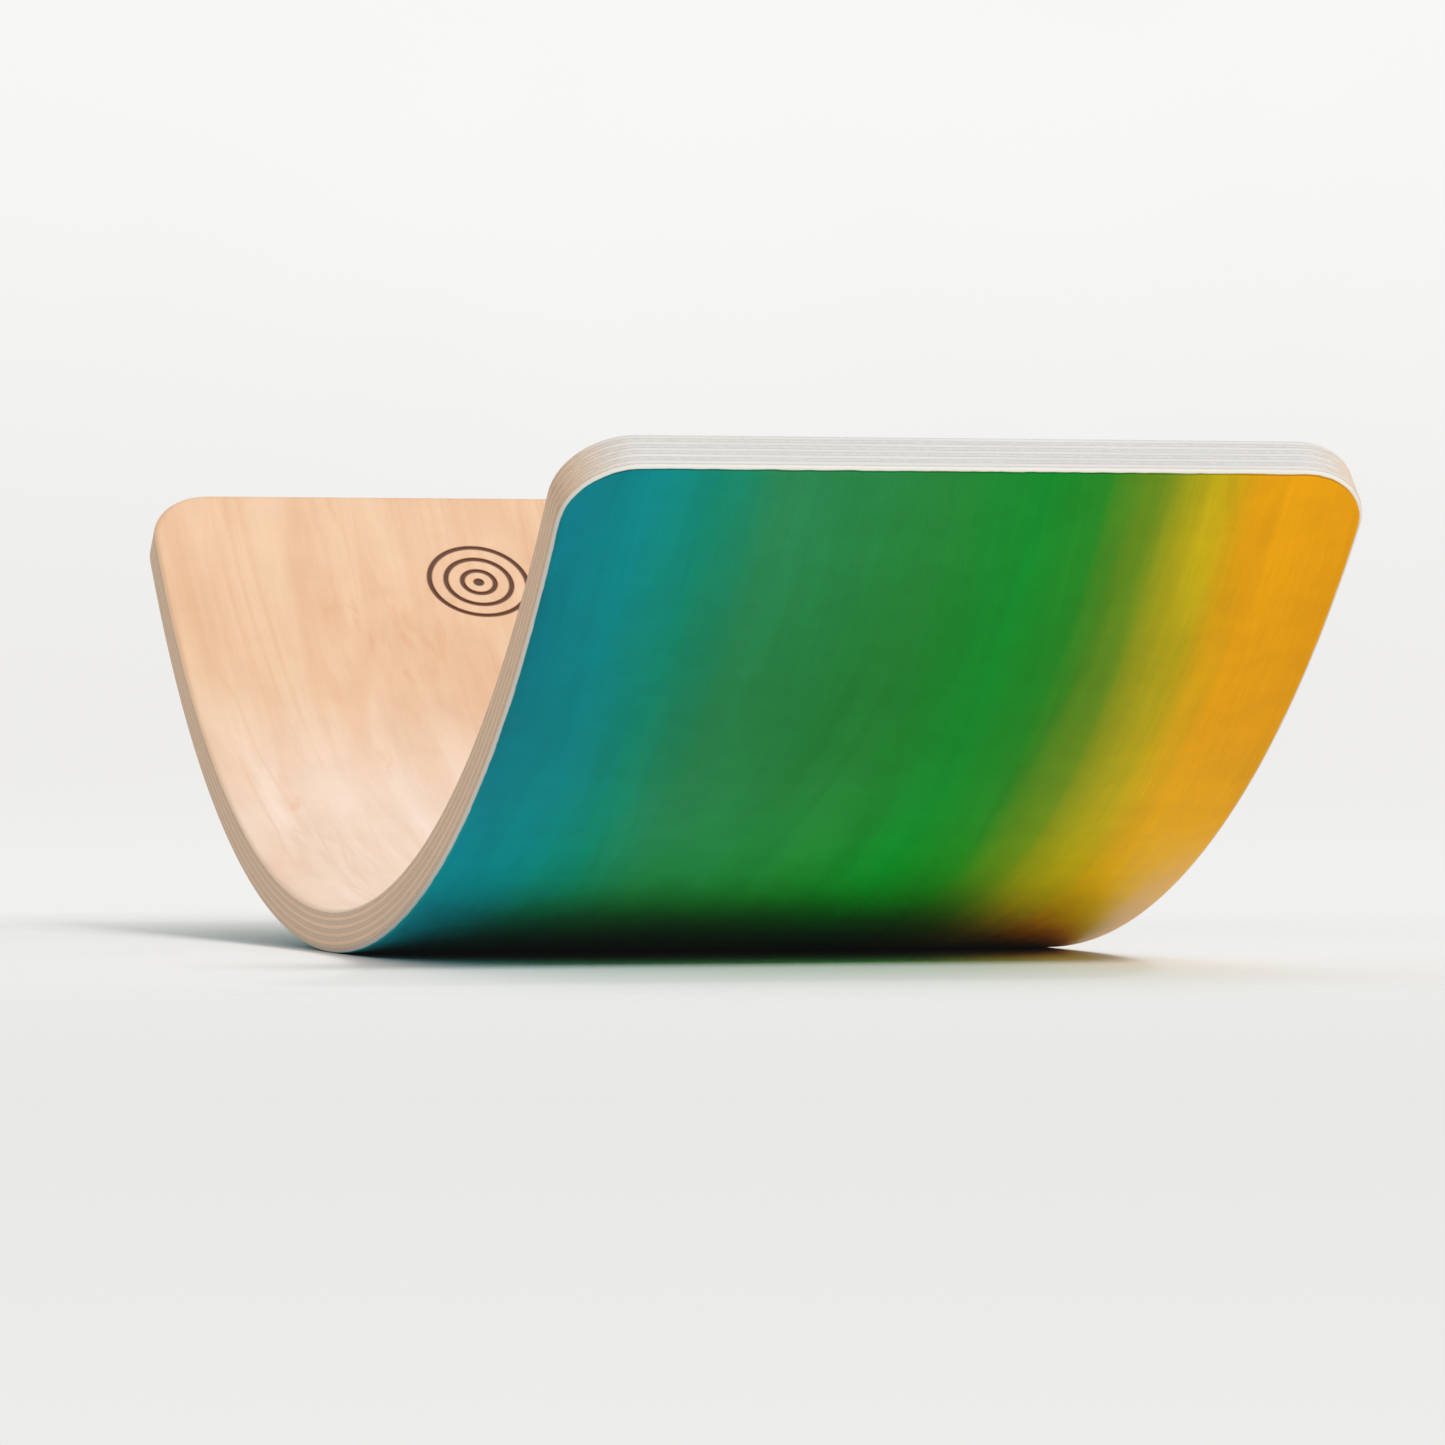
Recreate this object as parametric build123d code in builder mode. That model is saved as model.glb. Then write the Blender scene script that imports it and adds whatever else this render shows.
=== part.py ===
from build123d import *

import os
from math import cos, degrees, isclose, radians, sin

# A balance board: one springy plate of bent plywood that rocks on its curved underside.
# It is built the way it is pressed, as thin wood veneers glued one on another over a former.
# The origin is the middle of the line where the board touches a flat floor.
# +X runs along the board, +Y across it and +Z up. All sizes are in millimetres.

# Driving dimensions
BOARD_LENGTH = 900.0  # measured along the stained underside
BOARD_WIDTH = 300.0
VENEER_COUNT = 11
VENEER_THICKNESS = 1.6
BEND_RADIUS = 520.0  # of the stained underside
END_RUN = 35.0  # straight length at each end, where the former lets the sheet run out
CORNER_RADIUS = 28.0
EDGE_RADIUS = 2.5  # sanded rounding of every outline edge

# The maker's mark is a small roundel of growth rings burnt into the standing face.
MARK_FROM_END = 56.0  # from the far end to the roundel's centre, along the standing face
MARK_OFFSET = -6.0  # across the board, towards the blue edge
MARK_RING_COUNT = 3
MARK_RING_STEP = 7.5
MARK_LINE_WIDTH = 1.8
MARK_CORE_RADIUS = 2.2
MARK_DEPTH = 0.3

# How far each cutting shape reaches past the wood that it trims
CUT_MARGIN = 10.0

BOARD_THICKNESS = VENEER_COUNT * VENEER_THICKNESS
BEND_ANGLE = degrees((BOARD_LENGTH / 2 - END_RUN) / BEND_RADIUS)  # from the middle to an end run


def bent_layer(low, high, end_run, width):
    """Return the bent sheet that lies between two heights above the stained underside."""
    bend_centre = (0, BEND_RADIUS)
    first_angle = 270 - BEND_ANGLE
    with BuildPart() as layer:
        with BuildSketch(Plane.XZ):
            with BuildLine():
                under = CenterArc(bend_centre, BEND_RADIUS - low, first_angle, 2 * BEND_ANGLE)
                over = CenterArc(bend_centre, BEND_RADIUS - high, first_angle, 2 * BEND_ANGLE)
                under_far = PolarLine(under @ 0, end_run, 180 - BEND_ANGLE)
                under_near = PolarLine(under @ 1, end_run, BEND_ANGLE)
                over_far = PolarLine(over @ 0, end_run, 180 - BEND_ANGLE)
                over_near = PolarLine(over @ 1, end_run, BEND_ANGLE)
                Line(under_far @ 1, over_far @ 1)
                Line(under_near @ 1, over_near @ 1)
            make_face()
        extrude(amount=width / 2, both=True)
    return layer.part


def veneer_slab(number):
    """Return the room that veneer `number` fills, wider and longer than the board itself."""
    low = (number - 1) * VENEER_THICKNESS
    high = number * VENEER_THICKNESS
    return bent_layer(low, high, END_RUN + CUT_MARGIN, BOARD_WIDTH + 2 * CUT_MARGIN)


def is_outline_edge(edge):
    """Tell a broad face's outline from the bend lines and the edges that run through the board."""
    is_bend_line = isclose(edge.length, BOARD_WIDTH, abs_tol=0.01)
    runs_through = isclose(edge.length, BOARD_THICKNESS, abs_tol=0.01)
    return not (is_bend_line or runs_through)


# The whole pressed board, trimmed to its rounded outline and sanded. Every veneer is cut from it.
with BuildPart() as pressed_board:
    add(bent_layer(0, BOARD_THICKNESS, END_RUN, BOARD_WIDTH))
    corner_edges = pressed_board.edges().group_by(SortBy.LENGTH)[0]
    fillet(corner_edges, CORNER_RADIUS)
    fillet(pressed_board.edges().filter_by(is_outline_edge), EDGE_RADIUS)

# The burnt roundel, as thin rings that follow the curve of the standing face.
standing_radius = BEND_RADIUS - BOARD_THICKNESS
mark_angle = radians(BEND_ANGLE) - (MARK_FROM_END - END_RUN) / standing_radius
mark_height = BEND_RADIUS - standing_radius * cos(mark_angle)
mark_plane = Plane(
    origin=(-standing_radius * sin(mark_angle), MARK_OFFSET, mark_height),
    x_dir=(0, 1, 0),
    z_dir=(sin(mark_angle), 0, cos(mark_angle)),
)
with BuildPart() as burnt_mark:
    with BuildSketch(mark_plane):
        Circle(MARK_CORE_RADIUS)
        for ring in range(1, MARK_RING_COUNT + 1):
            with BuildSketch(mark_plane, mode=Mode.PRIVATE) as ring_shape:
                Circle(ring * MARK_RING_STEP + MARK_LINE_WIDTH / 2)
                Circle(ring * MARK_RING_STEP - MARK_LINE_WIDTH / 2, mode=Mode.SUBTRACT)
            add(ring_shape.sketch_local)
    extrude(amount=CUT_MARGIN, both=True)
    add(
        bent_layer(BOARD_THICKNESS - MARK_DEPTH, BOARD_THICKNESS + CUT_MARGIN, END_RUN, BOARD_WIDTH),
        mode=Mode.INTERSECT,
    )

os.makedirs("parts", exist_ok=True)

# The outermost sheet below, stained in bands of colour. It is the one that rolls on the floor.
with BuildPart() as stained_face_veneer:
    add(pressed_board.part)
    add(veneer_slab(1), mode=Mode.INTERSECT)
stained_face_veneer.part.label = "stained_face_veneer"
export_step(stained_face_veneer.part, "parts/stained_face_veneer.step")

# The sheets inside, counted up from the stained face. Even ones have their grain across the board.
for number in range(2, VENEER_COUNT):
    grain = "cross" if number % 2 == 0 else "long"
    name = f"{grain}_grain_ply_{number:02d}"
    with BuildPart() as inner_ply:
        add(pressed_board.part)
        add(veneer_slab(number), mode=Mode.INTERSECT)
    inner_ply.part.label = name
    export_step(inner_ply.part, f"parts/{name}.step")

# The outermost sheet above, bare lacquered wood that feet stand on, with the mark burnt in.
with BuildPart() as standing_face_veneer:
    add(pressed_board.part)
    add(veneer_slab(VENEER_COUNT), mode=Mode.INTERSECT)
    add(burnt_mark.part, mode=Mode.SUBTRACT)
standing_face_veneer.part.label = "standing_face_veneer"
export_step(standing_face_veneer.part, "parts/standing_face_veneer.step")
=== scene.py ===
from math import acos, atan2, cos, pi, radians, sin, sqrt

import bpy
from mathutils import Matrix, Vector


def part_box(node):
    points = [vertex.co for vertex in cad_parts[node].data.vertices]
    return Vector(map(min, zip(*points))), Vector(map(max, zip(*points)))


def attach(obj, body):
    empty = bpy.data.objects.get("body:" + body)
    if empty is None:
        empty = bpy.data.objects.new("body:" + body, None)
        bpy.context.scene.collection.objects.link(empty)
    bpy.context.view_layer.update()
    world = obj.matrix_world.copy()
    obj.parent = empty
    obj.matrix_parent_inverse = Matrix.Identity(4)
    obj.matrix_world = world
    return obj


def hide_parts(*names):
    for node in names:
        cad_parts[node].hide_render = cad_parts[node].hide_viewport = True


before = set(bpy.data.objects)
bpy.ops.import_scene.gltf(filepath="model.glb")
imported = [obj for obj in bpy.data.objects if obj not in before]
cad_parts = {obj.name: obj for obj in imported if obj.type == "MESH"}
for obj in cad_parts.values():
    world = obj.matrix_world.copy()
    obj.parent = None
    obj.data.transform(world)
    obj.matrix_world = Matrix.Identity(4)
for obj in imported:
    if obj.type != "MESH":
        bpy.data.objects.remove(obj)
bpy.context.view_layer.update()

# A balance board of bent plywood. Each veneer of the frame gets a finished mesh of its own, laid out
# on the flat sheet and then bent. A place on the flat sheet is (along, across, height): along the
# board, across it, and up from the stained underside. Everything is in metres.

MM = 0.001

# The driving sizes of the frame, with the width and the number of veneers read from it
PLIES = sorted((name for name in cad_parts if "_ply_" in name), key=lambda name: name[-2:])
VENEERS = ["stained_face_veneer", *PLIES, "standing_face_veneer"]
PLY_THICKNESS = 1.6 * MM
THICKNESS = PLY_THICKNESS * len(VENEERS)
HALF_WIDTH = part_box(PLIES[-1])[1].y
HALF_LENGTH = 450 * MM
BEND_RADIUS = 520 * MM
END_RUN = 35 * MM
CORNER_RADIUS = 28 * MM
EDGE_RADIUS = 2.5 * MM
BEND_HALF = HALF_LENGTH - END_RUN
BEND_ANGLE = BEND_HALF / BEND_RADIUS
STRAIGHT_ALONG = HALF_LENGTH - CORNER_RADIUS
STRAIGHT_ACROSS = HALF_WIDTH - CORNER_RADIUS

# The burnt roundel of growth rings near the far end, measured on the standing face
MARK_FROM_END = 56 * MM
MARK_ACROSS = -6 * MM
MARK_RING_COUNT = 3
MARK_RING_STEP = 7.5 * MM
MARK_LINE_WIDTH = 1.8 * MM
MARK_CORE_RADIUS = 2.2 * MM
MARK_DEPTH = 0.3 * MM
MARK_WALL = 0.15 * MM  # how far a burnt line's wall slopes in on its way down
MARK_EDGE_CHAR = 0.6
SCORCH_WIDTH = 0.9 * MM

# Mesh detail
CORNER_SHARES = (0.15, 0.3, 0.45, 0.6, 0.75, 0.9, 0.975, 1.0)
EASING_STEPS = 8
GLUE_GROOVE = 0.05 * MM
SHARP_ANGLE = radians(32)
CELLS_ALONG = 105
CELLS_ON_MARK = 20
CELLS_BESIDE_MARK = 10
CELLS_ACROSS_PLY = 4
MARK_MARGIN_LOOPS = 2

# Studio. The camera sees the floor fade out between two distances from the board's middle, into a
# backdrop that paints light over the board's cast shadows there.
FLOOR_RADIUS = 2.6
FLOOR_FADE_START = 0.15
FLOOR_FADE_END = 0.7
FLOOR_SIDES = 96
FLOOR_MOTTLE_SCALE = 5.0
FLOOR_ROUGHNESS = (0.55, 0.65)
FLOOR_BUMP = 0.2 * MM
FLOOR_SHINE = 0.2
FLOOR_TINTS = ("d1d1cf", "d3d3d1")
# The backdrop behind the faded floor, at shares of the way up between two rises of the line of sight.
# Its tones are the floor's painted light and shade: darker some way in front of the board, lighter
# towards the wall.
FLOOR_SHOWN_RISE = (-0.1, -0.02)
FLOOR_SHOWN = (
    (0.0, "eaeae7"),
    (0.6, "e5e5e2"),
    (0.84, "e8e8e5"),
    (0.92, "eeeeec"),
    (1.0, "f0f0ee"),
)
# The wall above it, from its foot up, and the rises between which the floor turns into the wall
WALL_TINTS = ("ecebe9", "f6f6f5")
WALL_RISE = (-0.01, 0.09)
WALL_FOOT_RISE = (-0.03, -0.004)
PLASTER_SCALE = 9.0
PLASTER_TONE = (0.985, 1.01)
AIR_BRIGHTNESS = (0.74, 0.4)  # from the pale wall behind the board, and from the room in front
AIR_BLEND = (-0.5, 0.5)  # the directions between which one turns into the other, as their x
# Each softbox as (name, place, width, height, brightness), aimed at the board
SOFTBOXES = (
    ("front_softbox", (9.13, 2.45, 7.39), 2.5, 2.1, 70.0),
    ("side_softbox", (1.82, 3.42, 7.0), 0.8, 0.8, 60.0),
    ("overhead_softbox", (0.1, 0.0, 2.4), 1.0, 1.0, 1.5),
)
SOFTBOX_TARGET = Vector((0.0, 0.0, 0.1))
# The picture's contrast, as places on its curve from linear scene brightness to linear output
CONTRAST = (
    (0.02, 0.013),
    (0.045, 0.036),
    (0.075, 0.08),
    (0.15, 0.185),
    (0.3, 0.335),
    (0.6, 0.64),
)
DEEPEST_TONE = 0.004  # what the curve makes of black
CAMERA_LENS = 185  # millimetres, as is the width of the sensor
CAMERA_SENSOR = 36
CAMERA_PLACE = Vector((2.9046, -0.7776, 0.096))
CAMERA_TARGET = Vector((0.05, 0.0, 0.092))


# ---------------------------------------------------------------- meshes


def bend(along, across, height):
    """Bend a place on the flat sheet to its place on the board."""
    side = -1 if along < 0 else 1
    angle = min(abs(along) / BEND_RADIUS, BEND_ANGLE)
    run = max(abs(along) - BEND_HALF, 0)
    radius = BEND_RADIUS - height
    x = side * (radius * sin(angle) + run * cos(angle))
    z = BEND_RADIUS - radius * cos(angle) + run * sin(angle)
    return (x, across, z)


def place_along(from_end):
    """Turn a distance from the far end, measured on the standing face, to a place along the sheet."""
    if from_end <= END_RUN:
        return from_end - HALF_LENGTH
    stretch = BEND_RADIUS / (BEND_RADIUS - THICKNESS)
    return (from_end - END_RUN) * stretch - BEND_HALF


def grid_lines(stations, cells):
    """Grid lines from end to end, each as (place, share of the way out over a round corner)."""
    places = [stations[0]]
    for start, stop, count in zip(stations, stations[1:], cells):
        places += [start + (stop - start) * i / count for i in range(1, count + 1)]
    first = [(places[0], -share) for share in reversed(CORNER_SHARES)]
    last = [(places[-1], share) for share in CORNER_SHARES]
    return first + [(place, 0.0) for place in places] + last


def outline(lines_along, lines_across):
    """The pairs of grid lines that cross on the sheet's outline, in order round it."""
    near_side = [(line, lines_across[0]) for line in lines_along]
    one_end = [(lines_along[-1], line) for line in lines_across[1:]]
    far_side = [(line, lines_across[-1]) for line in reversed(lines_along[:-1])]
    other_end = [(lines_along[0], line) for line in reversed(lines_across[1:-1])]
    return near_side + one_end + far_side + other_end


def edge_inset(height):
    """How far the sanded edge stands back from the full outline."""
    short = max(EDGE_RADIUS - min(height, THICKNESS - height), 0)
    return EDGE_RADIUS - sqrt(EDGE_RADIUS**2 - short**2)


def edge_turn(height):
    """How far the sanded edge has turned, from 0 on a broad face to 1 on the square-cut edge."""
    depth = min(height, THICKNESS - height, EDGE_RADIUS)
    return acos(1 - depth / EDGE_RADIUS) / (pi / 2)


def rim_heights(low, high):
    """Heights of the edge loops between a veneer's two broad faces, closer where the edge is round."""
    turns = [pi / 2 * step / EASING_STEPS for step in range(1, EASING_STEPS + 1)]
    depths = [EDGE_RADIUS * (1 - cos(turn)) for turn in turns]
    heights = depths + [THICKNESS - depth for depth in depths]
    spacing = 3 * GLUE_GROOVE
    kept = [height for height in heights if low + spacing < height < high - spacing]
    if low > 0:
        kept.append(low + GLUE_GROOVE)
    if high < THICKNESS:
        kept.append(high - GLUE_GROOVE)
    return sorted(kept)


class Sheet:
    """One veneer, collected on the flat sheet with the traits that its material reads."""

    def __init__(self):
        self.places, self.traits, self.faces = [], [], []

    def add(self, along, across, height, eased=0.0, end_cut=0.0, burnt=0.0):
        """Add a point and return its number."""
        self.places.append((along, across, height))
        self.traits.append((eased, end_cut, burnt))
        return len(self.places) - 1

    def add_crossing(self, line_along, line_across, height, groove=0.0):
        """Add the point where two grid lines cross, on a sheet with round corners."""
        (along, out_along), (across, out_across) = line_along, line_across
        reach = CORNER_RADIUS - edge_inset(height) - groove
        along += reach * out_along * sqrt(1 - out_across**2 / 2)
        across += reach * out_across * sqrt(1 - out_along**2 / 2)
        end_cut = out_along**2 * (1 - out_across**2 / 2)
        return self.add(along, across, height, edge_turn(height), end_cut)

    def fill_between(self, loop, next_loop):
        """Fill between two closed loops of points, with the faces looking out of the veneer."""
        for i in range(len(loop)):
            self.faces.append((loop[i - 1], loop[i], next_loop[i], next_loop[i - 1]))

    def add_broad_face(self, lines_along, lines_across, height, looks_up, groove, hole=None):
        """Add one broad face as a grid. Returns its outline, and the border of the hole left in it.

        The hole is (first, stop) along the grid and then (first, stop) across it.
        """
        grid = [
            [self.add_crossing(line, other, height, groove) for other in lines_across]
            for line in lines_along
        ]
        for i in range(len(grid) - 1):
            for j in range(len(grid[0]) - 1):
                if hole and hole[0] <= i < hole[1] and hole[2] <= j < hole[3]:
                    continue
                face = (grid[i][j], grid[i + 1][j], grid[i + 1][j + 1], grid[i][j + 1])
                self.faces.append(face if looks_up else face[::-1])
        rim = border(grid)
        if not hole:
            return rim, None
        return rim, border([row[hole[2] : hole[3] + 1] for row in grid[hole[0] : hole[1] + 1]])

    def build(self, name):
        """Bend the sheet and make a smooth-shaded object of it."""
        mesh = bpy.data.meshes.new(name)
        mesh.from_pydata([bend(*place) for place in self.places], [], self.faces)
        for attribute, rows in (("sheet", self.places), ("traits", self.traits)):
            data = mesh.attributes.new(attribute, "FLOAT_VECTOR", "POINT").data
            data.foreach_set("vector", [value for row in rows for value in row])
        mesh.shade_smooth()
        mesh.set_sharp_from_angle(angle=SHARP_ANGLE)
        piece = bpy.data.objects.new(name, mesh)
        bpy.context.scene.collection.objects.link(piece)
        return piece


def border(grid):
    """The outer points of a grid, in order round it."""
    near_side = [row[0] for row in grid]
    far_side = [row[-1] for row in reversed(grid[:-1])]
    return near_side + grid[-1][1:] + far_side + grid[0][-2:0:-1]


def mark_rings():
    """Loops of the burnt roundel from its rim inwards, each as (radius, depth, how burnt)."""
    loops = []
    for ring in range(MARK_RING_COUNT, 0, -1):
        radius = ring * MARK_RING_STEP
        half = MARK_LINE_WIDTH / 2
        loops += [
            (radius + half + SCORCH_WIDTH, 0, 0),
            (radius + half, 0, MARK_EDGE_CHAR),
            (radius + half - MARK_WALL, MARK_DEPTH, 1),
            (radius - half + MARK_WALL, MARK_DEPTH, 1),
            (radius - half, 0, MARK_EDGE_CHAR),
            (radius - half - SCORCH_WIDTH, 0, 0),
        ]
    return loops + [
        (MARK_CORE_RADIUS + SCORCH_WIDTH, 0, 0),
        (MARK_CORE_RADIUS, 0, MARK_EDGE_CHAR),
        (MARK_CORE_RADIUS - MARK_WALL, MARK_DEPTH, 1),
        (MARK_CORE_RADIUS / 2, MARK_DEPTH, 1),
    ]


def add_mark(sheet, rim):
    """Fill the hole left in the standing face with the burnt roundel of growth rings."""
    centre_along = place_along(MARK_FROM_END)
    rings = mark_rings()
    turns, reaches = [], []
    for point in rim:
        along, across, _ = sheet.places[point]
        turns.append(atan2(across - MARK_ACROSS, along - centre_along))
        reaches.append(sqrt((along - centre_along) ** 2 + (across - MARK_ACROSS) ** 2))
    last = rim
    for step in range(1, MARK_MARGIN_LOOPS + 1):
        share = step / (MARK_MARGIN_LOOPS + 1)
        loop = []
        for turn, reach in zip(turns, reaches):
            radius = reach + (rings[0][0] - reach) * share
            along = centre_along + radius * cos(turn)
            loop.append(sheet.add(along, MARK_ACROSS + radius * sin(turn), THICKNESS))
        sheet.fill_between(last, loop)
        last = loop
    for radius, depth, burnt in rings:
        loop = []
        for turn in turns:
            along = place_along(MARK_FROM_END + radius * cos(turn))
            across = MARK_ACROSS + radius * sin(turn)
            loop.append(sheet.add(along, across, THICKNESS - depth, burnt=burnt))
        sheet.fill_between(last, loop)
        last = loop
    centre = sheet.add(centre_along, MARK_ACROSS, THICKNESS - MARK_DEPTH, burnt=1)
    for i in range(len(last)):
        sheet.faces.append((last[i - 1], last[i], centre))


def build_veneer(name, number):
    """Build veneer `number`, counted up from 0 at the stained underside."""
    top = len(VENEERS) - 1
    low, high = number * PLY_THICKNESS, (number + 1) * PLY_THICKNESS
    mark_along = place_along(MARK_FROM_END)
    # The mark sits in the middle of a square patch of cells, which begins where the end's round
    # corners leave off.
    half_patch = STRAIGHT_ALONG + mark_along
    stations = (-STRAIGHT_ALONG, mark_along + half_patch, STRAIGHT_ALONG)
    lines_along = grid_lines(stations, (CELLS_ON_MARK, CELLS_ALONG))
    if 0 < number < top:
        lines_across = grid_lines((-STRAIGHT_ACROSS, STRAIGHT_ACROSS), (CELLS_ACROSS_PLY,))
    else:
        patch = (MARK_ACROSS - half_patch, MARK_ACROSS + half_patch)
        stations = (-STRAIGHT_ACROSS, *patch, STRAIGHT_ACROSS)
        lines_across = grid_lines(stations, (CELLS_BESIDE_MARK, CELLS_ON_MARK, CELLS_BESIDE_MARK))
    hole = None
    if number == top:
        first_along = len(CORNER_SHARES)
        first_across = first_along + CELLS_BESIDE_MARK
        hole = (first_along, first_along + CELLS_ON_MARK, first_across, first_across + CELLS_ON_MARK)
    sheet = Sheet()
    low_groove = GLUE_GROOVE if number > 0 else 0
    high_groove = GLUE_GROOVE if number < top else 0
    last, _ = sheet.add_broad_face(lines_along, lines_across, low, False, low_groove)
    for height in rim_heights(low, high):
        loop = [sheet.add_crossing(*pair, height) for pair in outline(lines_along, lines_across)]
        sheet.fill_between(last, loop)
        last = loop
    rim, mark_rim = sheet.add_broad_face(lines_along, lines_across, high, True, high_groove, hole)
    sheet.fill_between(last, rim)
    if mark_rim:
        add_mark(sheet, mark_rim)
    return sheet.build(name)


# ---------------------------------------------------------------- materials


def colour(code):
    """Turn a web colour such as "f2c8a5" to the linear colour that shaders use, by the sRGB curve."""
    channels = [int(code[i : i + 2], 16) / 255 for i in (0, 2, 4)]
    return (*(c / 12.92 if c <= 0.04045 else ((c + 0.055) / 1.055) ** 2.4 for c in channels), 1)


class Nodes:
    """Adds nodes to a tree and joins them. Inputs are other nodes' outputs or plain values."""

    def __init__(self, tree):
        self.tree = tree

    def node(self, kind, inputs=None, **settings):
        """Add a node with these settings and inputs."""
        node = self.tree.nodes.new(kind)
        for name, value in settings.items():
            setattr(node, name, value)
        for name, value in (inputs or {}).items():
            self.join(value, node.inputs[name])
        return node

    def join(self, value, socket):
        """Link another node's output to a socket, or set the socket to a plain value."""
        if isinstance(value, bpy.types.NodeSocket):
            self.tree.links.new(value, socket)
        else:
            socket.default_value = value

    def split(self, vector):
        """Take a vector apart into its three numbers."""
        return self.node("ShaderNodeSeparateXYZ", {0: vector}).outputs[:3]

    def math(self, operation, first, second=0.0):
        inputs = {0: first, 1: second}
        return self.node("ShaderNodeMath", inputs, operation=operation).outputs[0]

    def fade(self, value, start, stop, low=0.0, high=1.0):
        """Go smoothly from low to high while the value goes from start to stop."""
        inputs = {"Value": value, "From Min": start, "From Max": stop, "To Min": low, "To Max": high}
        return self.node("ShaderNodeMapRange", inputs, interpolation_type="SMOOTHSTEP").outputs[0]

    def mix(self, share, first, second):
        """Mix two colours. The node's colour sockets are its inputs 6 and 7 and its output 2."""
        inputs = {0: share, 6: first, 7: second}
        return self.node("ShaderNodeMix", inputs, data_type="RGBA").outputs[2]

    def between(self, share, codes):
        """Mix two web colours."""
        return self.mix(share, colour(codes[0]), colour(codes[1]))

    def tone(self, tint, strength):
        """Make a colour lighter or darker."""
        inputs = {0: tint, "Scale": strength}
        return self.node("ShaderNodeVectorMath", inputs, operation="SCALE").outputs[0]

    def vary(self, tint, pattern, at_none, at_full):
        """Make a colour lighter or darker as a pattern goes from 0 to 1."""
        return self.tone(tint, self.fade(pattern, 0.0, 1.0, at_none, at_full))

    def lift(self, tint, strength):
        """Make a colour lighter, but never lighter than white. A strength of 1 leaves it as it is."""
        dark = self.node("ShaderNodeInvert", {"Color": tint}).outputs[0]
        less_dark = self.node("ShaderNodeGamma", {"Color": dark, "Gamma": strength}).outputs[0]
        return self.node("ShaderNodeInvert", {"Color": less_dark}).outputs[0]

    def ramp(self, value, stops):
        """Blend between colours at places from 0 to 1."""
        node = self.node("ShaderNodeValToRGB", {0: value})
        elements = node.color_ramp.elements
        for element, (place, code) in zip(list(elements), (stops[0], stops[-1])):
            element.position, element.color = place, colour(code)
        for place, code in stops[1:-1]:
            elements.new(place).color = colour(code)
        return node.outputs[0]


NOISE_STEP = 13.7  # how far apart the places are that a look's noises are taken from
MOST_NOISE = (0.3, 0.7)  # nearly all of a noise lies between these


class Look(Nodes):
    """A material that reads the flat sheet's places, in millimetres, and the traits.

    The traits say how far the sanded edge has turned, how much of an end cut it is, and how burnt.
    """

    def __init__(self, name):
        self.material = bpy.data.materials.new(name)
        self.material.use_nodes = True
        super().__init__(self.material.node_tree)
        self.surface = self.tree.nodes["Principled BSDF"]
        self.seed = 0.0
        sheet = self.node("ShaderNodeAttribute", attribute_name="sheet").outputs["Vector"]
        millimetres = {0: sheet, "Scale": 1 / MM}
        self.place = self.node("ShaderNodeVectorMath", millimetres, operation="SCALE").outputs[0]
        self.along, self.across, self.height = self.split(self.place)
        traits = self.node("ShaderNodeAttribute", attribute_name="traits").outputs["Vector"]
        self.eased, self.end_cut, self.burnt = self.split(traits)

    def noise(self, size, detail, roughness=0.5, distortion=0.0):
        """Noise about 0.5, with lumps of this size in millimetres: along, across and through."""
        self.seed += NOISE_STEP
        spread = {0: self.place, 1: [1 / length for length in size], 2: [self.seed] * 3}
        vector = self.node("ShaderNodeVectorMath", spread, operation="MULTIPLY_ADD").outputs[0]
        texture = {"Detail": detail, "Roughness": roughness, "Distortion": distortion}
        return self.node("ShaderNodeTexNoise", {"Vector": vector, "Scale": 1.0, **texture}).outputs[0]

    def finish(self, tint, roughness, height, bump_depth, coat=0.0, coat_roughness=0.2, shine=0.5):
        """Join a surface's colour, roughness, relief and lacquer to the shader."""
        bump = {"Height": height, "Distance": bump_depth, "Strength": 1.0}
        inputs = {
            "Base Color": tint,
            "Roughness": roughness,
            "Normal": self.node("ShaderNodeBump", bump).outputs[0],
            "Coat Weight": coat,
            "Coat Roughness": coat_roughness,
            "Specular IOR Level": shine,
        }
        for name, value in inputs.items():
            self.join(value, self.surface.inputs[name])
        return self.material


# Tints of side grain and of end grain, each as the two shades that streaks run between. The end cuts
# are paler and greyer than the long edges: a painted sheen of the light from above on their lacquer.
LONG_EDGE_TINTS = (("dab181", "e0b88b"), ("c4a07b", "ccaa86"))
END_CUT_SHEEN_TINTS = (("b3b0ac", "bab7b3"), ("a9a6a1", "b1aeaa"))
GLUE_TONE = 0.8
GLUE_SPREAD = (0.02, 0.12)  # how far the glue darkens the wood beside a joint, in veneers


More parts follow.
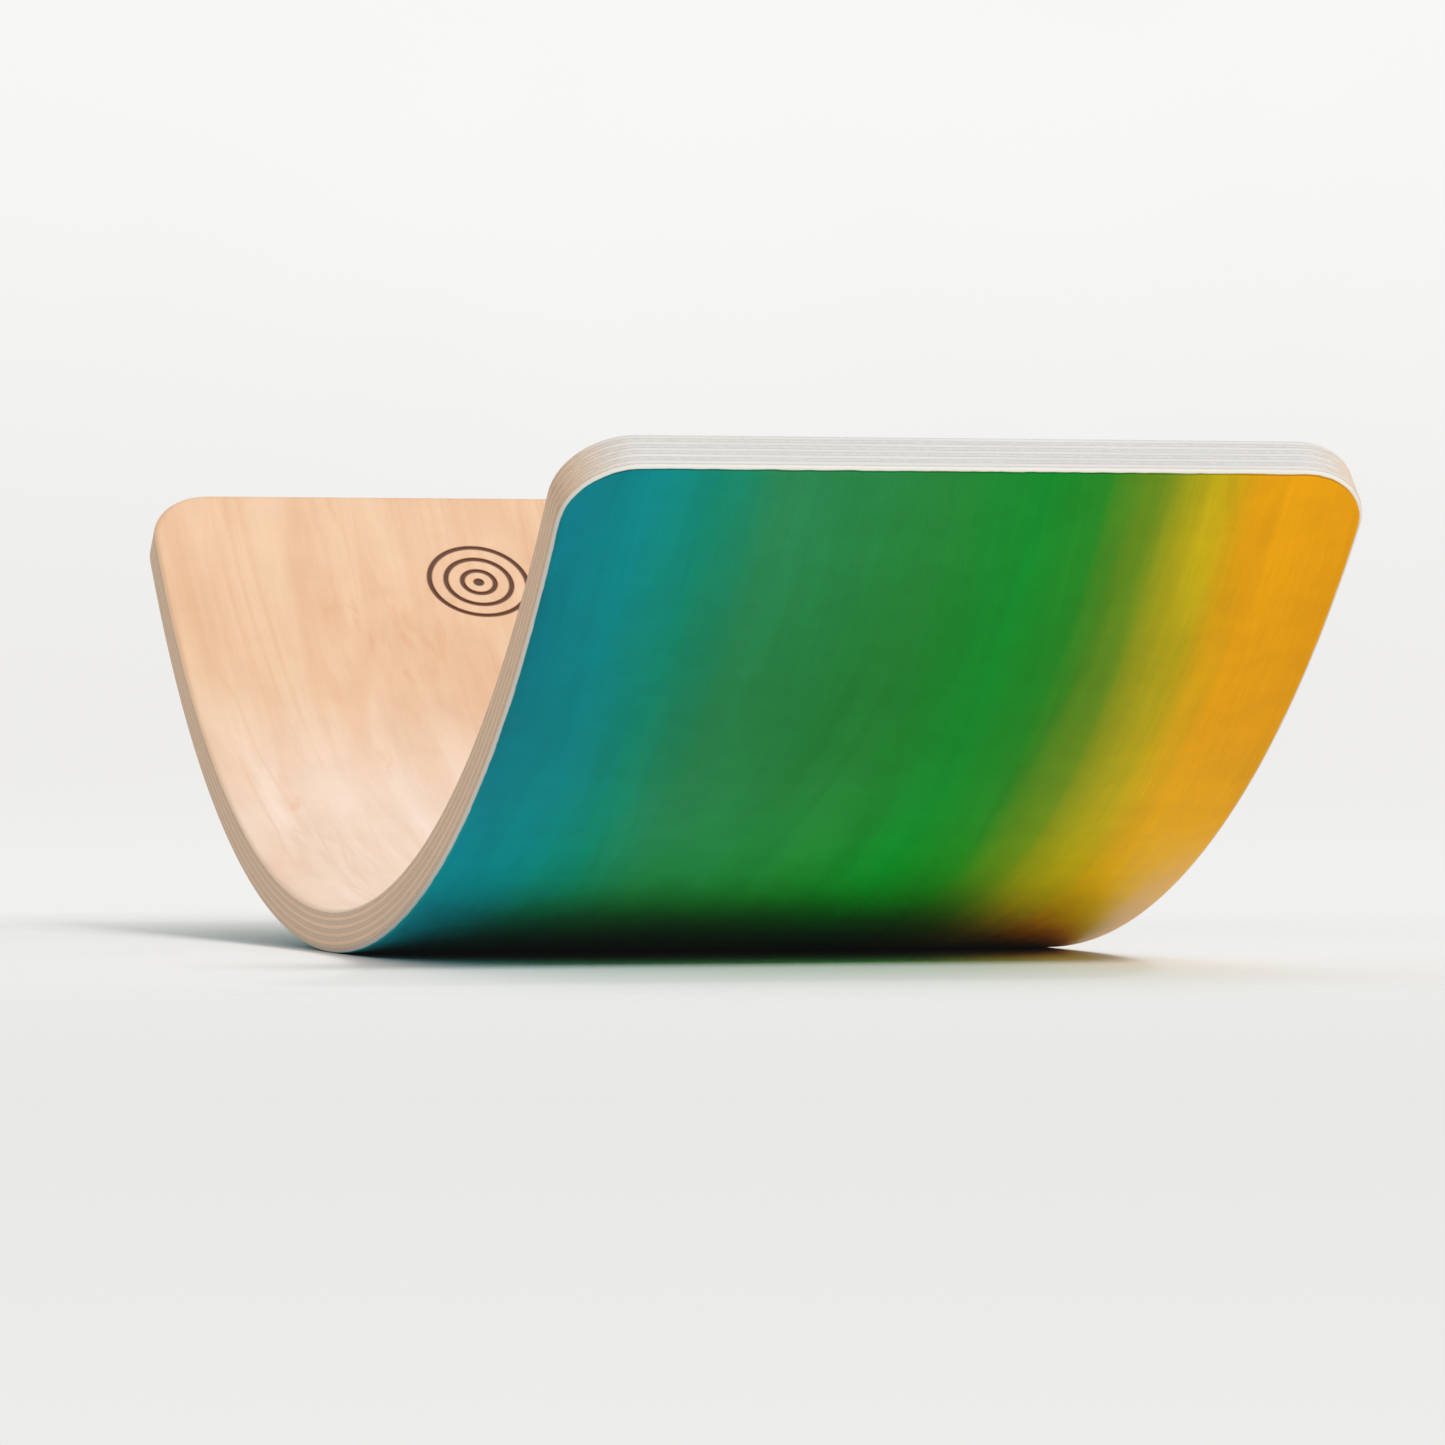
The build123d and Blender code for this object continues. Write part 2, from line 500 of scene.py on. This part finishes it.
def edge_grain(look, along_board):
    """Colour and relief of a sanded edge: side grain on one kind of edge, end grain on the other."""
    if along_board:
        end_grain = look.end_cut
        fibres = look.noise((45, 0.5, 0.35), detail=3)
        streaks = look.noise((160, 3, 1.2), detail=2)
    else:
        end_grain = look.math("SUBTRACT", 1.0, look.end_cut)
        fibres = look.noise((0.5, 45, 0.35), detail=3)
        streaks = look.noise((3, 160, 1.2), detail=2)
    streak = look.fade(streaks, 0.35, 0.65)
    side_tint, end_tint = (look.between(streak, codes) for codes in LONG_EDGE_TINTS)
    tint = look.mix(end_grain, side_tint, end_tint)
    # Painted sheen: the end cuts take paler, greyer tints that stand in for light glancing off their
    # lacquer.
    side_tint, end_tint = (look.between(streak, codes) for codes in END_CUT_SHEEN_TINTS)
    tint = look.mix(look.end_cut, tint, look.mix(end_grain, side_tint, end_tint))
    tint = look.tone(tint, look.fade(fibres, *MOST_NOISE, 0.94, 1.05))
    # Glue shows as a thin darker line where two veneers meet.
    ply_place = look.math("DIVIDE", look.height, PLY_THICKNESS / MM)
    nearest_joint = look.math("ROUND", ply_place)
    from_joint = look.math("ABSOLUTE", look.math("SUBTRACT", ply_place, nearest_joint))
    tint = look.tone(tint, look.fade(from_joint, *GLUE_SPREAD, GLUE_TONE, 1.0))
    return tint, fibres


GROWTH_LINES = 90.0  # how closely growth lines follow each other, in radians over the slow noise


def face_figure(look):
    """Figure of a face veneer, each part from 0 to 1: clouds, growth lines, fibres and ripple."""
    broad = look.noise((260, 70, 90), detail=2, distortion=0.5)
    drawn_out = look.noise((150, 22, 26), detail=3, distortion=0.6)
    clouds = look.fade(look.math("ADD", broad, drawn_out), 0.75, 1.25)
    slow = look.noise((620, 85, 120), detail=2, roughness=0.45, distortion=0.35)
    wave = look.math("SINE", look.math("MULTIPLY", slow, GROWTH_LINES))
    patchy = look.fade(look.noise((240, 50, 80), detail=2), 0.42, 0.68)
    lines = look.math("MULTIPLY", look.fade(wave, 0.1, 1.0), patchy)
    coarse = look.noise((60, 2.2, 2.2), detail=3, roughness=0.6)
    fine = look.noise((22, 0.5, 0.5), detail=2)
    fibres = look.fade(look.math("ADD", coarse, fine), 0.7, 1.3)
    ripple = look.fade(look.noise((16, 24, 24), detail=3, distortion=0.4), *MOST_NOISE)
    return clouds, lines, fibres, ripple


# The standing face is rosier towards the far end and painted paler towards the middle of the board: a
# painted sheen, the reflection of the pale room that it faces there.
ROSY_TINTS = ("c39672", "cca684")
PAINTED_SHEEN_TINTS = ("d0b097", "d8c0ae")
ROSY_TO_PAINTED_SHEEN = (-340.0, -180.0)  # places along the board, in millimetres
# Its growth lines, thin wavy streaks and soft smudges, and how strongly each shows
LINE_TINT = "bf8558"
LINE_STRENGTH = 0.22
WISP_TINT = "b9804f"
WISP_STRENGTH = 0.2
SMUDGE_TINT = "bd7c48"
SMUDGE_STRENGTH = 0.4
FACE_TO_EDGE_TURN = (0.35, 0.75)  # how far the sanded edge has turned where its own look takes over
# Burnt wood, from a light scorch to char
CHAR_TINTS = ((0.0, "c98f5f"), (0.45, "844518"), (0.85, "44230d"), (1.0, "391b08"))


def standing_face_look():
    """Pale peach veneer under clear satin lacquer, with the mark burnt in."""
    look = Look("lacquered_pale_veneer")
    clouds, lines, fibres, ripple = face_figure(look)
    rosy = look.between(clouds, ROSY_TINTS)
    # Painted sheen: the paler tints towards the middle stand in for the reflection of the pale room.
    pale = look.between(clouds, PAINTED_SHEEN_TINTS)
    tint = look.mix(look.fade(look.along, *ROSY_TO_PAINTED_SHEEN), rosy, pale)
    tint = look.mix(look.math("MULTIPLY", lines, LINE_STRENGTH), tint, colour(LINE_TINT))
    tint = look.vary(tint, fibres, 0.98, 1.02)
    tint = look.vary(tint, ripple, 0.985, 1.015)
    # Thin wavy streaks of tan run lengthwise, with a few soft smudges between them.
    wisp = look.noise((140, 13, 13), detail=2, distortion=0.8)
    off_ridge = look.math("ABSOLUTE", look.math("SUBTRACT", wisp, 0.5))
    wisp_zone = look.fade(look.noise((190, 34, 34), detail=1), 0.46, 0.62)
    wisps = look.math("MULTIPLY", look.fade(off_ridge, 0.0, 0.07, WISP_STRENGTH, 0.0), wisp_zone)
    tint = look.mix(wisps, tint, colour(WISP_TINT))
    smudge = look.noise((26, 8, 8), detail=3, distortion=0.7)
    smudge_zone = look.fade(look.noise((90, 40, 40), detail=1), 0.52, 0.68)
    smudges = look.math("MULTIPLY", look.fade(smudge, 0.5, 0.72, 0.0, SMUDGE_STRENGTH), smudge_zone)
    tint = look.mix(smudges, tint, colour(SMUDGE_TINT))
    edge, _ = edge_grain(look, along_board=True)
    tint = look.mix(look.fade(look.eased, *FACE_TO_EDGE_TURN), tint, edge)
    char = look.ramp(look.burnt, CHAR_TINTS)
    tint = look.mix(look.fade(look.burnt, 0.0, 0.5), tint, char)
    roughness = look.fade(fibres, 0.0, 1.0, 0.42, 0.5)
    # Where the wood is burnt, little lacquer is left.
    coat = look.fade(look.burnt, 0.1, 0.7, 0.35, 0.05)
    return look.finish(tint, roughness, fibres, bump_depth=0.05 * MM, coat=coat, coat_roughness=0.22)


# The stain's colours at shares of the board's width, from the blue edge to the amber edge
STAIN_BANDS = (
    (0.0, "007785"),
    (0.09, "008486"),
    (0.17, "12866a"),
    (0.25, "348454"),
    (0.45, "2f843f"),
    (0.58, "0e8c35"),
    (0.66, "30842b"),
    (0.73, "688e22"),
    (0.81, "cbb016"),
    (0.87, "f6a502"),
    (1.0, "e69500"),
)
BAND_WANDER = 7.0  # millimetres either way
BAND_FEATHER = 2.5
# Painted light: how much lighter the stain is painted towards the middle of the board, by its colour,
# standing in for light thrown up from the floor. The span is in millimetres from the middle, and the
# changes of colour are at shares of the board's width.
PAINTED_LIGHT_SPAN = (100.0, 400.0)
PAINTED_LIGHT_CURVE = 2.1
BLUE_PAINTED_LIGHT, GREEN_PAINTED_LIGHT, AMBER_PAINTED_LIGHT = 1.5, 2.2, 1.0
BLUE_TO_GREEN = (0.05, 0.3)
GREEN_TO_AMBER = (0.62, 0.85)
# Where a pale glow of reflected light is painted on the amber edge near the floor, in millimetres
# along and across from the board's centre
PAINTED_GLOW_SPAN = (120.0, 250.0)
PAINTED_GLOW_BAND = (112.0, 146.0)
PAINTED_GLOW_TINT = "e3b98a"
PAINTED_GLOW_STRENGTH = 0.7
# The stain's border, by how far the sanded edge has turned from 0 to 1: the darker border, then
# the end of the stain, then the end of the bare strip with its painted highlight
DARK_BORDER_TURN = (0.02, 0.16)
STAIN_BORDER_TURN = (0.24, 0.34)
BARE_STRIP_TURN = (0.55, 0.8)
BORDER_WANDER = 0.03
DARK_BORDER_TONE = 0.5
# Bare wood with a painted highlight: paler and greyer than the wood, for the light that the sanded
# edge catches
BARE_STRIP_HIGHLIGHT_TINT = "d2cec5"


def stained_face_look():
    """Water stain blended across the board from blue through green to amber, under satin lacquer."""
    look = Look("stained_veneer")
    clouds, lines, fibres, ripple = face_figure(look)
    # The stain was wiped on lengthwise, so its bands wander slowly and feather out in long streaks.
    slow = look.noise((330, 220, 200), detail=1)
    wander = look.fade(slow, 0.25, 0.75, -BAND_WANDER, BAND_WANDER)
    streaks = look.noise((150, 12, 12), detail=3)
    feather = look.fade(streaks, 0.25, 0.75, -BAND_FEATHER, BAND_FEATHER)
    moved = look.math("ADD", look.across, look.math("ADD", wander, feather))
    half = HALF_WIDTH / MM
    width_range = {"Value": moved, "From Min": -half, "From Max": half}
    share = look.node("ShaderNodeMapRange", width_range).outputs[0]
    tint = look.ramp(share, STAIN_BANDS)
    tint = look.vary(tint, clouds, 0.94, 1.05)
    off_middle = look.math("ABSOLUTE", look.along)
    # Painted light: it is painted lighter the nearer it is to the middle, and most so in the green.
    nearness = look.math("POWER", look.fade(off_middle, *PAINTED_LIGHT_SPAN, 1.0, 0.0), PAINTED_LIGHT_CURVE)
    from_blue = look.fade(share, *BLUE_TO_GREEN, BLUE_PAINTED_LIGHT, GREEN_PAINTED_LIGHT)
    to_amber = look.fade(share, *GREEN_TO_AMBER, GREEN_PAINTED_LIGHT, AMBER_PAINTED_LIGHT)
    painted_light = look.math("MULTIPLY", nearness, look.math("MINIMUM", from_blue, to_amber))
    tint = look.lift(tint, look.math("ADD", painted_light, 1.0))
    tint = look.vary(tint, lines, 1.0, 0.93)
    tint = look.vary(tint, fibres, 0.97, 1.03)
    tint = look.vary(tint, ripple, 0.97, 1.03)
    # A pale glow of light reflected onto the amber edge is painted where the board touches the floor.
    near_floor = look.fade(off_middle, *PAINTED_GLOW_SPAN, PAINTED_GLOW_STRENGTH, 0.0)
    painted_glow = look.math("MULTIPLY", near_floor, look.fade(moved, *PAINTED_GLOW_BAND))
    tint = look.mix(painted_glow, tint, colour(PAINTED_GLOW_TINT))
    edge, _ = edge_grain(look, along_board=True)
    # The stain is darker at its border along the end cuts. A pale strip follows it all round: bare
    # sanded wood, painted paler and greyer as a highlight of the light it catches.
    torn = look.fade(look.noise((9, 9, 1.5), detail=2), *MOST_NOISE, -BORDER_WANDER, BORDER_WANDER)
    ragged = look.math("ADD", look.eased, torn)
    dark_border = look.math("MULTIPLY", look.fade(ragged, *DARK_BORDER_TURN), look.end_cut)
    tint = look.vary(tint, dark_border, 1.0, DARK_BORDER_TONE)
    bare_and_highlight = look.mix(look.fade(look.eased, *BARE_STRIP_TURN), colour(BARE_STRIP_HIGHLIGHT_TINT), edge)
    tint = look.mix(look.fade(ragged, *STAIN_BORDER_TURN), tint, bare_and_highlight)
    roughness = look.fade(fibres, 0.0, 1.0, 0.42, 0.52)
    lacquer = {"coat": 0.04, "coat_roughness": 0.25, "shine": 0.12}
    return look.finish(tint, roughness, fibres, bump_depth=0.04 * MM, **lacquer)


def inner_ply_look(along_board):
    """Sanded edges of a sheet inside the board, with its grain along or across the board."""
    look = Look("long_grain_edge" if along_board else "cross_grain_edge")
    tint, fibres = edge_grain(look, along_board)
    lacquer = {"coat": 0.1, "coat_roughness": 0.3}
    return look.finish(tint, roughness=0.5, height=fibres, bump_depth=0.06 * MM, **lacquer)


def floor_look():
    """Pale matt studio paint that fades out towards the backdrop."""
    look = Look("studio_paint")
    place = look.node("ShaderNodeTexCoord").outputs["Object"]
    texture = {"Vector": place, "Scale": FLOOR_MOTTLE_SCALE, "Detail": 5.0}
    mottle = look.node("ShaderNodeTexNoise", texture).outputs[0]
    tint = look.between(look.fade(mottle, *MOST_NOISE), FLOOR_TINTS)
    roughness = look.fade(mottle, *MOST_NOISE, *FLOOR_ROUGHNESS)
    look.finish(tint, roughness, mottle, FLOOR_BUMP, shine=FLOOR_SHINE)
    length = look.node("ShaderNodeVectorMath", {0: place}, operation="LENGTH")
    from_centre = length.outputs["Value"]
    gone = look.fade(from_centre, FLOOR_FADE_START, FLOOR_FADE_END)
    # Only the camera sees the floor fade into the painted backdrop. For the light it is there all the
    # way.
    is_camera = look.node("ShaderNodeLightPath").outputs["Is Camera Ray"]
    gone = look.math("MULTIPLY", gone, is_camera)
    clear = look.node("ShaderNodeBsdfTransparent").outputs[0]
    both = look.node("ShaderNodeMixShader", {0: gone, 1: look.surface.outputs[0], 2: clear})
    look.join(both.outputs[0], look.tree.nodes["Material Output"].inputs["Surface"])
    return look.material


# ---------------------------------------------------------------- the board

standing_look = standing_face_look()
stained_look = stained_face_look()
long_look = inner_ply_look(along_board=True)
cross_look = inner_ply_look(along_board=False)

for number, node_name in enumerate(VENEERS):
    if number == 0:
        name, material, slot = "stained_face", stained_look, "stained_face"
    elif number == len(VENEERS) - 1:
        name, material, slot = "standing_face", standing_look, "standing_face"
    elif node_name.startswith("cross"):
        name, material, slot = f"cross_grain_{number + 1:02d}", cross_look, "cross_grain_wood"
    else:
        name, material, slot = f"long_grain_{number + 1:02d}", long_look, "long_grain_wood"
    piece = build_veneer(name, number)
    piece.data.materials.append(material)
    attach(piece, "root")
    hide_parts(node_name)

# ---------------------------------------------------------------- studio


def build_floor():
    """A round floor, flat under the board."""
    points, faces = [(0.0, 0.0, 0.0)], []
    for side in range(FLOOR_SIDES):
        angle = 2 * pi * side / FLOOR_SIDES
        points.append((FLOOR_RADIUS * cos(angle), FLOOR_RADIUS * sin(angle), 0.0))
        faces.append((0, 1 + side, 1 + (side + 1) % FLOOR_SIDES))
    mesh = bpy.data.meshes.new("floor")
    mesh.from_pydata(points, [], faces)
    mesh.materials.append(floor_look())
    floor = bpy.data.objects.new("floor", mesh)
    bpy.context.scene.collection.objects.link(floor)


def build_world():
    """Even studio light from all round, and a plastered backdrop that only the camera sees."""
    world = bpy.data.worlds.new("studio_air")
    world.use_nodes = True
    bpy.context.scene.world = world
    air = Nodes(world.node_tree)
    direction = air.node("ShaderNodeTexCoord").outputs["Generated"]
    towards_room, _, rise = air.split(direction)
    texture = {"Vector": direction, "Scale": PLASTER_SCALE, "Detail": 6.0}
    plaster = air.node("ShaderNodeTexNoise", texture).outputs[0]
    wall = air.between(air.fade(rise, *WALL_RISE), WALL_TINTS)
    wall = air.tone(wall, air.fade(plaster, *MOST_NOISE, *PLASTER_TONE))
    below = {"Value": rise, "From Min": FLOOR_SHOWN_RISE[0], "From Max": FLOOR_SHOWN_RISE[1]}
    floor = air.ramp(air.node("ShaderNodeMapRange", below).outputs[0], FLOOR_SHOWN)
    backdrop = air.mix(air.fade(rise, *WALL_FOOT_RISE), floor, wall)
    brightness = air.fade(towards_room, *AIR_BLEND, *AIR_BRIGHTNESS)
    light = air.node("ShaderNodeBackground", {"Color": (1, 1, 1, 1), "Strength": brightness})
    seen = air.node("ShaderNodeBackground", {"Color": backdrop, "Strength": 1.0})
    is_camera = air.node("ShaderNodeLightPath").outputs["Is Camera Ray"]
    choice = {0: is_camera, 1: light.outputs[0], 2: seen.outputs[0]}
    both = air.node("ShaderNodeMixShader", choice).outputs[0]
    air.join(both, world.node_tree.nodes["World Output"].inputs["Surface"])


def add_softbox(name, place, width, height, brightness):
    """A plain area light whose brightness is its radiance."""
    data = bpy.data.lights.new(name, "AREA")
    data.shape = "RECTANGLE"
    data.size, data.size_y = width, height
    data.energy = brightness * pi * width * height
    light = bpy.data.objects.new(name, data)
    light.location = place
    light.rotation_euler = (SOFTBOX_TARGET - Vector(place)).to_track_quat("-Z", "Y").to_euler()
    light.visible_camera = False
    bpy.context.scene.collection.objects.link(light)


build_floor()
build_world()
for softbox in SOFTBOXES:
    add_softbox(*softbox)

camera_data = bpy.data.cameras.new("camera")
camera_data.lens = CAMERA_LENS
camera_data.sensor_width = CAMERA_SENSOR
camera = bpy.data.objects.new("camera", camera_data)
camera.location = CAMERA_PLACE
camera.rotation_euler = (CAMERA_TARGET - CAMERA_PLACE).to_track_quat("-Z", "Y").to_euler()
bpy.context.scene.collection.objects.link(camera)
bpy.context.scene.camera = camera

picture = bpy.context.scene.view_settings
picture.view_transform = "Standard"
picture.use_curve_mapping = True
# The fourth curve works on all three colours together.
tones = picture.curve_mapping.curves[3].points
tones[0].location = (0.0, DEEPEST_TONE)
for place in CONTRAST:
    tones.new(*place)
picture.curve_mapping.update()
